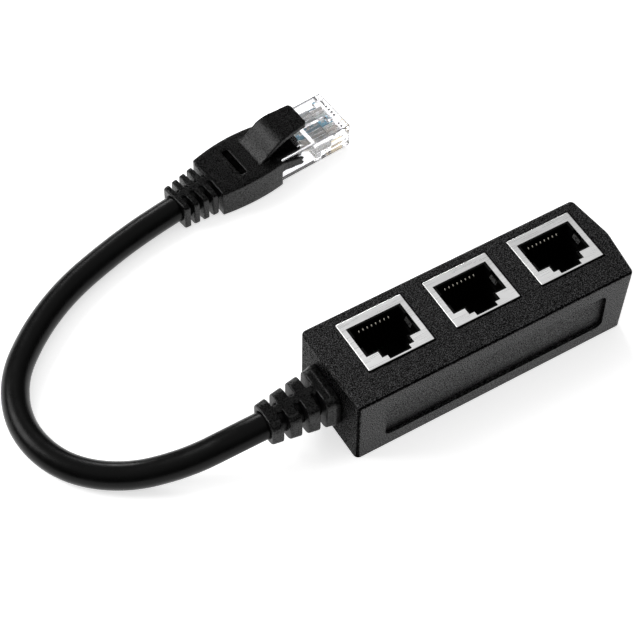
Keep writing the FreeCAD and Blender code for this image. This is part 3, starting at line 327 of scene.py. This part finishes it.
def shield_finish():
    """Brushed sheet, with painted light on its flat top that grows brighter to the front, and
    painted shade on its sides, near black except a grey finger that shows.
    """
    finish = Finish("plated_sheet", (0.86, 0.86, 0.87), 0.3, Metallic=1.0)
    low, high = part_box("jack_shield_1")
    brushed = finish.noise(0.35, detail=3.0, stretch=(0.08, 1.0, 1.0))
    cloudy = finish.noise(2.4)
    # Painted light on the flat top, brighter to the front; painted shade on the sides, with the
    # fingers grey.
    front = finish.along("Y", high[1] / MM, low[1] / MM)
    painted_light_factor = finish.span(front, 0.84, 1.0, start=0.15, end=0.7)
    flat = finish.times(painted_light_factor, finish.facing("Z", 0.7, 0.99))
    above = finish.along("Z", FINGER_TOP, SHEET_LOW)
    finger_painted_shade = finish.span(above, FINGER_PAINTED_SHADE, 0.0, start=0.0, end=1.0)
    side = finish.span(finish.facing("X", -0.9, -0.4), 1.0, 0.0, start=0.0, end=1.0)
    tone_with_painted_shade = finish.most(flat, finish.times(finger_painted_shade, side))
    finish.color(finish.ramp(tone_with_painted_shade, [(0.0, grey(0.01)), (1.0, grey(1.0))]))
    finish.rough(finish.span(brushed, 0.22, 0.42))
    finish.bump([(brushed, 0.006), (cloudy, 0.02)])
    return finish.material


def insert_finish():
    """The sockets' plain black moulding."""
    finish = Finish("insert_moulding", grey(0.002), 0.35, Specular_IOR_Level=0.08)
    cloudy = finish.noise(1.2)
    finish.rough(finish.span(cloudy, 0.3, 0.45))
    finish.bump([(cloudy, 0.008)])
    return finish.material


def gold_finish():
    """The plug's contact blades."""
    finish = Finish("gold_plating", (0.95, 0.78, 0.5), 0.2, Metallic=1.0)
    cloudy = finish.noise(0.3)
    finish.color(finish.ramp(cloudy, [(0.3, (0.9, 0.72, 0.44)), (0.7, (0.98, 0.86, 0.62))]))
    finish.rough(finish.span(cloudy, 0.14, 0.3))
    return finish.material


def spring_finish():
    """The sockets' contacts: gold at their knees, with painted shade that makes them near black
    further down.
    """
    finish = Finish("spring_contacts", (0.9, 0.8, 0.6), 0.22, Metallic=1.0)
    # Painted shade: near black below the contacts' knees.
    painted_shade_by_height = finish.along("Z", CONTACT_SHADED, CONTACT_LIT)
    finish.color(finish.ramp(painted_shade_by_height, [(0.0, (0.006, 0.006, 0.005)), (1.0, (0.97, 0.92, 0.8))]))
    finish.rough(finish.span(painted_shade_by_height, 0.6, 0.15, start=0.0, end=1.0))
    return finish.material


def jacket_finish():
    """Smooth black plastic that doesn't shine in the dark of the boot."""
    finish = Finish("lead_jacket", grey(0.001), 0.3)
    fine = finish.noise(0.12)
    cloudy = finish.noise(3.0, detail=3.0)
    finish.rough(finish.span(cloudy, 0.27, 0.36))
    # Painted shade: no shine on the lead inside the boot.
    finish.level(finish.span(finish.plug_axes()["X"], 0.11, 0.0, *LEAD_SHINE_END))
    finish.bump([(fine, 0.004), (cloudy, 0.03)])
    return finish.material


def outside_painted_slot_shade(finish):
    """0 in the slot across the boot's top, where painted shade takes the shine away, 1
    elsewhere.
    """
    places = finish.plug_axes()
    outside = [
        finish.beyond(places[axis], middle, half)
        for axis, middle, half in zip("XYZ", SLOT_MIDDLE, SLOT_HALF)
    ]
    return finish.most(finish.most(outside[0], outside[1]), outside[2])


def soft_finish(name, grain, rough, level, paint_slot_shade=False):
    """A soft moulding's satin skin, with grain of that size in millimetres.

    Painted light in its shine: painted shade where it is flat on top, a painted sheen on its
    other faces, and, where asked, painted shade with no shine at all in the boot's slot.
    """
    finish = Finish(name, grey(0.01), rough, Specular_IOR_Level=level)
    grains = finish.noise(grain, detail=3.0)
    finish.color(finish.ramp(grains, [(0.38, grey(0.0)), (0.62, grey(0.004))]))
    finish.rough(finish.span(grains, rough - 0.08, rough + 0.12))
    flat = finish.facing("Z", 0.93, 0.985)
    # Painted sheen on the sides and painted shade on flat tops, through the shine.
    painted_light_factor = finish.span(flat, 1.45, 0.6, start=0.0, end=1.0)
    glints = finish.span(grains, level * 0.5, level * 1.5, start=0.4, end=0.6)
    grain_and_painted_sheen = finish.times(glints, painted_light_factor)
    # Painted shade: no shine in the boot's slot.
    finish.level(finish.times(grain_and_painted_sheen, outside_painted_slot_shade(finish)) if paint_slot_shade else grain_and_painted_sheen)
    finish.bump([(grains, 0.05), (finish.noise(2.5), 0.04)])
    return finish.material


def plug_painted_edge_shade(finish):
    """1 along the plug's moulded edges, which bend the light away and so get painted shade, and
    0 elsewhere.
    """
    places = finish.plug_axes()
    side = finish.beyond(places["Y"], 0.0, PLUG_WIDE / 2 - PLUG_EDGE)
    level = finish.beyond(places["Z"], 0.0, PLUG_TALL / 2 - PLUG_EDGE)
    nose = finish.beyond(places["X"], 0.0, PLUG_LONG - PLUG_NOSE_EDGE)
    nose_side = finish.beyond(places["Y"], 0.0, PLUG_WIDE / 2 - PLUG_NOSE_EDGE)
    nose_level = finish.beyond(places["Z"], 0.0, PLUG_TALL / 2 - PLUG_NOSE_EDGE)
    long_edges = finish.times(side, level)
    return finish.most(long_edges, finish.times(nose, finish.most(nose_side, nose_level)))


def clear_finish(name, roughness):
    """Clear plastic with a little haze in it, and painted shade along the plug's moulded edges.
    """
    tint = (0.99, 0.99, 1.0)
    finish = Finish(name, tint, roughness, Transmission_Weight=CLEAR_PART, IOR=CLEAR_INDEX)
    painted_edge_shade = plug_painted_edge_shade(finish)
    # Painted shade along the plug's edges.
    finish.color(finish.ramp(painted_edge_shade, [(0.0, tint), (1.0, (0.12, 0.12, 0.125))]))
    flow = finish.noise(3.0, stretch=(0.4, 1.0, 1.0))
    finish.rough(finish.span(flow, roughness * 0.6, roughness * 1.5))
    finish.bump([(flow, 0.02)])
    return finish.material


def insulation_finish(name, stripe=None):
    """A wire's insulation: plain, or pale with stripes of its pair's colour."""
    base = COLOURED[name] if stripe is None else PALE
    finish = Finish(f"insulation_{name}", base, 0.35)
    mottle = finish.noise(0.4)
    if stripe is None:
        darker = tuple(channel * 0.85 for channel in base)
        finish.color(finish.ramp(mottle, [(0.35, darker), (0.65, base)]))
    else:
        bands = finish.add("ShaderNodeTexWave", wave_type="BANDS", bands_direction="X")
        bands.inputs["Scale"].default_value = STRIPE_SCALE
        bands.inputs["Distortion"].default_value = STRIPE_WAVER
        finish.join(finish.place, bands.inputs["Vector"])
        stops = [(0.45, COLOURED[stripe]), (0.6, PALE)]
        finish.color(finish.ramp(bands.outputs["Fac"], stops))
    finish.bump([(mottle, 0.005)])
    return finish.material


def give(piece, material):
    piece.data.materials.clear()
    piece.data.materials.append(material)


def paint_nodes():
    """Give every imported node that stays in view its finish, and return the jacket's."""
    housing = housing_finish()
    shield = shield_finish()
    insert = insert_finish()
    springs = spring_finish()
    jacket = jacket_finish()
    finishes = {
        "housing_shell": housing,
        "base_plate": housing,
        "circuit_board": board_finish(),
        "plug_contacts": gold_finish(),
        "plug_housing": clear_finish("clear_plug", 0.04),
        "wire_guide": clear_finish("clear_guide", 0.12),
        "cable_jacket_end": jacket,
    }
    for number in SOCKETS:
        finishes[f"jack_shield_{number}"] = shield
        finishes[f"jack_insert_{number}"] = insert
        finishes[f"jack_contacts_{number}"] = springs
    for color in COLOURED:
        plain = insulation_finish(color)
        finishes[f"wire_pair_{color}"] = plain
        finishes[f"plug_wire_{color}"] = plain
        finishes[f"plug_wire_white_{color}"] = insulation_finish(f"white_{color}", color)
    for node, material in finishes.items():
        give(NODES[node], material)
    return jacket


def soften(node, name, material):
    """A copy of a soft moulding with rounded edges, in the node's place."""
    piece = bpy.data.objects.new(name, NODES[node].data.copy())
    bpy.context.collection.objects.link(piece)
    steps = piece.modifiers.new("steps", "REMESH")
    steps.mode = "VOXEL"
    steps.voxel_size = SOFT_STEP * MM
    rounding = piece.modifiers.new("rounding", "SMOOTH")
    rounding.factor = SOFT_PULL
    rounding.iterations = SOFT_PASSES
    graph = bpy.context.evaluated_depsgraph_get()
    mesh = bpy.data.meshes.new_from_object(piece.evaluated_get(graph))
    piece.modifiers.clear()
    piece.data = mesh
    mesh.shade_smooth()
    give(piece, material)
    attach(piece, BODY)
    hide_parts(node)
    return piece


def make_lead(jacket):
    """The lead as a round cord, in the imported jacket's place."""
    curve = bpy.data.curves.new("lead", "CURVE")
    curve.dimensions = "3D"
    curve.resolution_u = LEAD_STEPS
    curve.bevel_depth = LEAD_DIAMETER / 2 * MM
    curve.bevel_resolution = LEAD_ROUND_STEPS
    curve.use_fill_caps = True
    spline = curve.splines.new("NURBS")
    spline.points.add(len(LEAD_ROUTE) - 1)
    for point, place in zip(spline.points, LEAD_ROUTE):
        point.co = (*(value * MM for value in place), 1.0)
    spline.order_u = 3
    spline.use_endpoint_u = True
    lead = bpy.data.objects.new("lead", curve)
    bpy.context.collection.objects.link(lead)
    lead.data.materials.append(jacket)
    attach(lead, BODY)
    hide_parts("cable_jacket")
    return lead


def declare_lead(boot, relief):
    on_it = [boot, relief, "plug_housing", "plug_contacts", "wire_guide", "cable_jacket_end"]
    on_it += [f"plug_wire_{color}" for color in COLOURED]
    on_it += [f"plug_wire_white_{color}" for color in COLOURED]


def floor_finish():
    """Pale, and glowing for the camera, in mirrors and behind the clear plug, with painted
    shade in mirrors near the end of the box.
    """
    finish = Finish("pale_floor", grey(0.9), 0.35, Specular_IOR_Level=0.3)
    away = finish.add("ShaderNodeVectorMath", operation="DISTANCE")
    away.inputs[1].default_value = SHADED_PLACE
    finish.join(finish.place, away.inputs[0])
    # Painted shade near the box's end, in mirrors.
    factor = finish.span(away.outputs["Value"], *SHADED_FACTORS, *SHADED_REACH)
    ray = finish.add("ShaderNodeLightPath").outputs
    mirrored = finish.times(ray["Is Glossy Ray"], factor)
    seen = finish.most(ray["Is Camera Ray"], mirrored)
    seen = finish.most(seen, ray["Is Transmission Ray"])
    glow = finish.add("ShaderNodeEmission")
    glow.inputs["Color"].default_value = (*grey(1.0), 1.0)
    finish.join(finish.times(seen, FLOOR_GLOW), glow.inputs["Strength"])
    total = finish.add("ShaderNodeAddShader")
    finish.join(finish.shader.outputs["BSDF"], total.inputs[0])
    finish.join(glow.outputs["Emission"], total.inputs[1])
    finish.join(total.outputs["Shader"], finish.tree.nodes["Material Output"].inputs["Surface"])
    return finish.material


def make_floor():
    half = FLOOR_HALF
    mesh = bpy.data.meshes.new("floor")
    corners = [(-half, -half, 0), (half, -half, 0), (half, half, 0), (-half, half, 0)]
    mesh.from_pydata(corners, [], [(0, 1, 2, 3)])
    floor = bpy.data.objects.new("floor", mesh)
    bpy.context.collection.objects.link(floor)
    mesh.materials.append(floor_finish())


def make_world():
    """A white tent that is bright overhead and dark towards the horizon."""
    world = bpy.data.worlds.new("studio")
    bpy.context.scene.world = world
    world.use_nodes = True
    tree = world.node_tree
    place = tree.nodes.new("ShaderNodeTexCoord")
    parts = tree.nodes.new("ShaderNodeSeparateXYZ")
    tree.links.new(place.outputs["Generated"], parts.inputs["Vector"])
    ramp = tree.nodes.new("ShaderNodeValToRGB")
    fill_ramp(ramp, [(height, grey(level)) for height, level in SKY])
    tree.links.new(parts.outputs["Z"], ramp.inputs["Fac"])
    background = tree.nodes["Background"]
    tree.links.new(ramp.outputs["Color"], background.inputs["Color"])
    background.inputs["Strength"].default_value = SKY_STRENGTH


def make_lights():
    """Soft square lamps."""
    for name, (place, width, power) in LAMPS.items():
        light = bpy.data.lights.new(name, "AREA")
        light.shape = "SQUARE"
        light.size = width
        light.energy = power
        lamp = bpy.data.objects.new(name, light)
        bpy.context.collection.objects.link(lamp)
        lamp.location = place
        aim = Vector(LAMPS_AIM) - Vector(place)
        lamp.rotation_euler = aim.to_track_quat("-Z", "Y").to_euler()


def make_camera():
    azimuth = math.radians(CAMERA_AZIMUTH)
    elevation = math.radians(CAMERA_ELEVATION)
    back = Vector(
        (
            math.sin(azimuth) * math.cos(elevation),
            -math.cos(azimuth) * math.cos(elevation),
            math.sin(elevation),
        )
    )
    right = Vector((0, 0, 1)).cross(back).normalized()
    up = back.cross(right)
    roll = math.radians(CAMERA_ROLL)
    right = right * math.cos(roll) + up * math.sin(roll)
    up = back.cross(right)
    data = bpy.data.cameras.new("camera")
    data.lens = CAMERA_LENS
    data.sensor_width = CAMERA_SENSOR
    data.clip_start = CAMERA_NEAR * MM
    camera = bpy.data.objects.new("camera", data)
    bpy.context.collection.objects.link(camera)
    place = (Vector(CAMERA_TARGET) + back * CAMERA_DISTANCE) * MM
    axes = Matrix((right, up, back)).transposed().to_4x4()
    camera.matrix_world = Matrix.Translation(place) @ axes
    bpy.context.scene.camera = camera


make_camera()
jacket = paint_nodes()
lead = make_lead(jacket)
relief_skin = soft_finish("relief_skin", grain=0.35, rough=0.34, level=0.16)
boot_skin = soft_finish("boot_skin", grain=0.26, rough=0.28, level=0.11, paint_slot_shade=True)
relief = soften("cable_relief", "soft_relief", relief_skin)
boot = soften("plug_boot", "soft_boot", boot_skin)
declare_lead(boot, relief)
make_floor()
make_world()
make_lights()
bpy.context.scene.view_settings.view_transform = "Standard"
